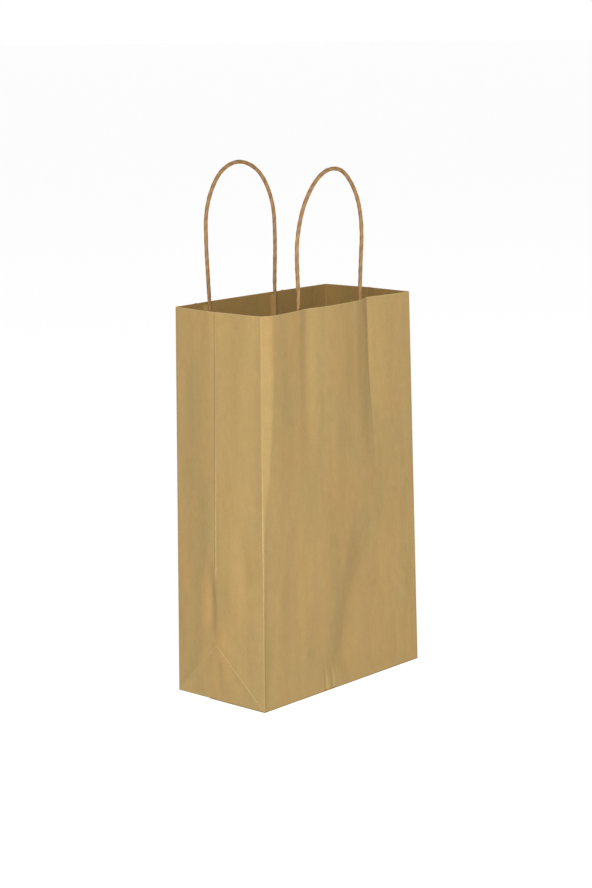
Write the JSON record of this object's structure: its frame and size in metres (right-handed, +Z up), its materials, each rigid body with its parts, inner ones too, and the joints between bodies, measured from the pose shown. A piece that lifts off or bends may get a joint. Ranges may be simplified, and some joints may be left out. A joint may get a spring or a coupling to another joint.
{
  "type": "gift bag",
  "caption": "Kraft paper gift bag with folding side gussets, a flat block bottom and twisted cord handles that tilt.",
  "frame": {"origin": "the middle of the bottom, on the table under the bag", "axes": "+Z up, X along the wide panels, the front panel faces -Y"},
  "size_m": [0.168, 0.082, 0.369],
  "materials": {
    "kraft": "matte",
    "kraft_inside": "matte",
    "cord": "matte"
  },
  "bodies": {
    "front": {"front_panel": "kraft", "front_patch_outer_ply": "kraft_inside", "front_patch_inner_ply": "kraft_inside", "front_cord_end_left": "cord", "front_cord_end_right": "cord"},
    "left_gusset_front_half": {"left_gusset_front": "kraft"},
    "left_gusset_rear_half": {"left_gusset_rear": "kraft"},
    "back": {"back_panel": "kraft", "side_seam": "kraft_inside", "back_patch_outer_ply": "kraft_inside", "back_patch_inner_ply": "kraft_inside", "back_cord_end_left": "cord", "back_cord_end_right": "cord"},
    "right_gusset_front_half": {"right_gusset_front": "kraft"},
    "right_gusset_rear_half": {"right_gusset_rear": "kraft"},
    "back_foot": {"back_strip": "kraft"},
    "left_corner": {"left_gusset_corner": "kraft"},
    "right_corner": {"right_gusset_corner": "kraft"},
    "bottom": {"bottom_outer_flap": "kraft", "bottom_inner_flap": "kraft", "left_end_tuck": "kraft_inside", "right_end_tuck": "kraft_inside"},
    "left_foot": {"left_gusset_foot": "kraft"},
    "right_foot": {"right_gusset_foot": "kraft"},
    "front_handle_loop": {"front_handle": "cord"},
    "back_handle_loop": {"back_handle": "cord"}
  },
  "joints": [
    {"name": "bag_fold", "type": "hinge", "parent": "front", "child": "left_gusset_front_half", "pos_m": [-0.0837, -0.0404, 0], "axis": [0, 0, -1], "range_deg": [0, 84]},
    {"name": "left_gusset_crease", "type": "hinge", "parent": "left_gusset_front_half", "child": "left_gusset_rear_half", "pos_m": [-0.08415, 0, 0], "axis": [0, 0, -1], "range_deg": [-168, 0]},
    {"name": "back_left_crease", "type": "hinge", "parent": "left_gusset_rear_half", "child": "back", "pos_m": [-0.0837, 0.0404, 0], "axis": [0, 0, -1], "range_deg": [0, 84]},
    {"name": "front_right_crease", "type": "hinge", "parent": "front", "child": "right_gusset_front_half", "pos_m": [0.0837, -0.0404, 0], "axis": [0, 0, -1], "range_deg": [-84, 0]},
    {"name": "right_gusset_crease", "type": "hinge", "parent": "right_gusset_front_half", "child": "right_gusset_rear_half", "pos_m": [0.08415, 0, 0], "axis": [0, 0, -1], "range_deg": [0, 168]},
    {"name": "back_foot_crease", "type": "hinge", "parent": "back", "child": "back_foot", "pos_m": [0, 0.041, 0.041], "axis": [1, 0, 0], "range_deg": [0, 152], "deforming": ["back_strip"]},
    {"name": "left_corner_crease", "type": "hinge", "parent": "back_foot", "child": "left_corner", "pos_m": [-0.0837, 0.0404, 0], "axis": [0, 0, 1], "range_deg": [0, 100], "deforming": ["left_gusset_corner"]},
    {"name": "right_corner_crease", "type": "hinge", "parent": "back_foot", "child": "right_corner", "pos_m": [0.0837, 0.0404, 0], "axis": [0, 0, 1], "range_deg": [-100, 0], "deforming": ["right_gusset_corner"]},
    {"name": "bottom_crease", "type": "hinge", "parent": "front", "child": "bottom", "pos_m": [0, -0.041, 0], "axis": [1, 0, 0], "range_deg": [0, 70.5], "deforming": ["bottom_outer_flap", "bottom_inner_flap", "left_end_tuck", "right_end_tuck"]},
    {"name": "left_foot_crease", "type": "hinge", "parent": "bottom", "child": "left_foot", "pos_m": [-0.0837, 0, 0.0018], "axis": [0, 1, 0], "range_deg": [0, 100], "deforming": ["left_gusset_foot"]},
    {"name": "right_foot_crease", "type": "hinge", "parent": "bottom", "child": "right_foot", "pos_m": [0.0837, 0, 0.0018], "axis": [0, 1, 0], "range_deg": [-100, 0], "deforming": ["right_gusset_foot"]},
    {"name": "front_handle_tilt", "type": "hinge", "parent": "front", "child": "front_handle_loop", "pos_m": [-0.0065, -0.0386, 0.2742], "axis": [1, 0, 0], "range_deg": [-22, 100]},
    {"name": "back_handle_tilt", "type": "hinge", "parent": "back", "child": "back_handle_loop", "pos_m": [-0.0135, 0.0386, 0.2742], "axis": [-1, 0, 0], "range_deg": [-22, 100]}
  ],
  "couplings": [
    {"joint": "left_gusset_crease", "follows": "bag_fold", "ratio": -2},
    {"joint": "back_left_crease", "follows": "bag_fold", "ratio": 1},
    {"joint": "front_right_crease", "follows": "bag_fold", "ratio": -1},
    {"joint": "right_gusset_crease", "follows": "bag_fold", "ratio": 2},
    {"joint": "back_foot_crease", "follows": "bag_fold", "ratio": 1.8024},
    {"joint": "left_corner_crease", "follows": "bag_fold", "ratio": 1.0476},
    {"joint": "right_corner_crease", "follows": "bag_fold", "ratio": -1.0476},
    {"joint": "bottom_crease", "follows": "bag_fold", "ratio": 0.83214},
    {"joint": "left_foot_crease", "follows": "bag_fold", "ratio": 1.0476},
    {"joint": "right_foot_crease", "follows": "bag_fold", "ratio": -1.0476}
  ]
}
